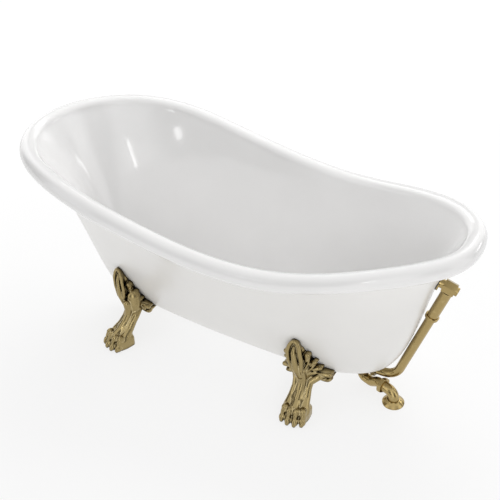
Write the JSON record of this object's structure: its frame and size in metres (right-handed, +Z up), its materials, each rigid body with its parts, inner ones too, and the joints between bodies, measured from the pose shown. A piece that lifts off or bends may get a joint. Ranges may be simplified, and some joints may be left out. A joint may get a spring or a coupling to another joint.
{
  "type": "clawfoot bathtub",
  "caption": "Free-standing double-shell slipper bathtub with a rolled rim, lion-paw feet on leaf brackets, and an exposed overflow tube, trap and floor pipe at the low end.",
  "frame": {"origin": "on the floor, under the middle of the tub's length and width", "axes": "+X along the tub to the drain end, +Y to the back side, +Z up"},
  "size_m": [1.6998, 0.7862, 0.771],
  "materials": {
    "enamel_inside": "gloss",
    "enamel_outside": "gloss",
    "board": "matte",
    "cast_brass": "antique satin",
    "pipe_brass": "antique satin",
    "dark_brass": "antique satin",
    "steel": "zinc plated",
    "rubber": "matte"
  },
  "bodies": {
    "tub": {"inner_basin": "enamel_inside", "outer_skin": "enamel_outside", "base_board": "board", "foot_head_front": "cast_brass", "foot_head_back": "cast_brass", "foot_drain_front": "cast_brass", "foot_drain_back": "cast_brass", "foot_inserts": "steel", "foot_studs": "steel", "foot_washers": "steel", "foot_nuts": "steel", "drain_strainer": "pipe_brass", "strainer_gasket": "rubber", "shoe_gasket": "rubber", "drain_shoe": "pipe_brass", "trap_inlet_nut": "dark_brass", "trap_bend": "pipe_brass", "trap_outlet_nut": "pipe_brass", "trap_seal": "rubber", "tail_elbow": "pipe_brass", "floor_flange": "pipe_brass", "overflow_tube": "pipe_brass", "overflow_tube_nut": "dark_brass", "overflow_tube_seal": "rubber", "overflow_sleeve": "pipe_brass", "overflow_head": "pipe_brass", "overflow_gasket": "rubber", "overflow_plate": "pipe_brass", "overflow_plate_gasket": "rubber", "overflow_screws": "dark_brass", "stopper_post": "dark_brass"},
    "stopper_carrier": {"stopper_guide": "dark_brass"},
    "stopper_top": {"stopper_plug": "pipe_brass", "stopper_knob": "pipe_brass", "stopper_seal": "rubber"}
  },
  "joints": [
    {"name": "stopper_lift", "type": "slide", "parent": "tub", "child": "stopper_carrier", "axis": [0, 0, 1], "range_m": [0, 0.009]},
    {"name": "stopper_turn", "type": "hinge", "parent": "stopper_carrier", "child": "stopper_top", "pos_m": [0.497, 0, 0.15], "axis": [0, 0, 1], "range_deg": [0, 90]}
  ]
}
